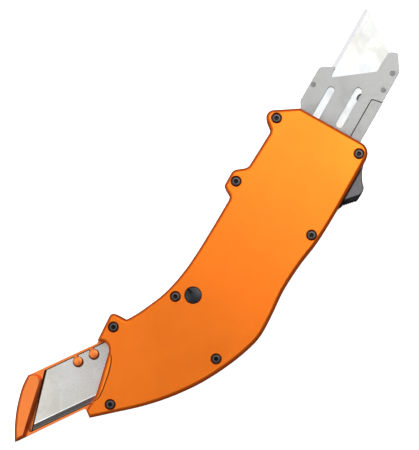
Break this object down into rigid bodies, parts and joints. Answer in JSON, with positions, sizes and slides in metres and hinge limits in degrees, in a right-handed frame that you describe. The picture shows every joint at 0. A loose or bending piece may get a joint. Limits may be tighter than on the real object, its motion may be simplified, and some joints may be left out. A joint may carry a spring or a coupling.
{
  "type": "double-ended deburring knife",
  "caption": "Orange curved two-shell handle with a spring-fired blade in a slotted steel holder at one end and a fixed blade in a guard hook at the other.",
  "frame": {"origin": "on the handle's flat back face, below the parting line, level with the slide's axis", "axes": "+X along the slide towards the extended blade tip, +Y towards the edge with the screw lobes, +Z out of the front face"},
  "size_m": [0.2175, 0.0788, 0.013],
  "materials": {
    "shell": "satin orange anodised",
    "holder": "satin sheet steel",
    "blade": "ground blade steel",
    "screw": "black oxide",
    "drive": "plain machined steel",
    "disc": "blackened",
    "slider": "dark grey anodised, rough ramp",
    "bumper": "moulded",
    "spring": "drawn spring wire"
  },
  "bodies": {
    "handle": {"back_half": "shell", "front_half": "shell", "magnet_disc": "disc", "rear_bumper": "bumper", "tail_blade": "blade", "locating_pin_1": "drive", "locating_pin_2": "drive", "lock_pivot_1": "drive", "lock_pivot_2": "drive", "handle_screw_1": "screw", "handle_screw_2": "screw", "handle_screw_3": "screw", "handle_screw_4": "screw", "handle_screw_5": "screw", "handle_screw_6": "screw", "handle_screw_7": "screw", "handle_screw_8": "screw"},
    "carriage": {"holder_front_plate": "holder", "holder_back_plate": "holder", "holder_spacer": "holder", "hook_spacer": "holder", "head_blade": "blade", "drive_lug": "drive", "latch_pivot": "holder", "holder_rivet_1": "holder", "holder_rivet_2": "holder", "holder_rivet_3": "holder", "holder_rivet_4": "holder", "holder_rivet_5": "holder", "holder_rivet_6": "holder"},
    "latch": {"latch_arm": "holder"},
    "thumb": {"thumb_slide": "slider", "slide_pin": "drive", "drive_shuttle": "drive", "front_spring_carrier": "drive", "rear_spring_carrier": "drive", "main_spring": "spring"},
    "extended_lock_body": {"extended_lock": "drive"},
    "retracted_lock_body": {"retracted_lock": "drive"}
  },
  "joints": [
    {"name": "blade_slide", "type": "slide", "parent": "handle", "child": "carriage", "axis": [1, 0, 0], "range_m": [-0.048, 0]},
    {"name": "thumb_travel", "type": "slide", "parent": "handle", "child": "thumb", "axis": [1, 0, 0], "range_m": [-0.02, 0]},
    {"name": "latch_flex", "type": "hinge", "parent": "carriage", "child": "latch", "pos_m": [0.0365, -0.0089, 0.00847], "axis": [0, 0, 1], "range_deg": [-2.6, 0], "stiffness_Nm_per_rad": 0.5},
    {"name": "extended_lock_turn", "type": "hinge", "parent": "handle", "child": "extended_lock_body", "pos_m": [0.009, 0.0192, 0.0081], "axis": [0, 0, 1], "range_deg": [-18, 0]},
    {"name": "retracted_lock_turn", "type": "hinge", "parent": "handle", "child": "retracted_lock_body", "pos_m": [-0.039, 0.0192, 0.0081], "axis": [0, 0, 1], "range_deg": [-18, 0]}
  ],
  "couplings": [
    {"joint": "thumb_travel", "follows": "blade_slide", "ratio": 0.4166}
  ]
}
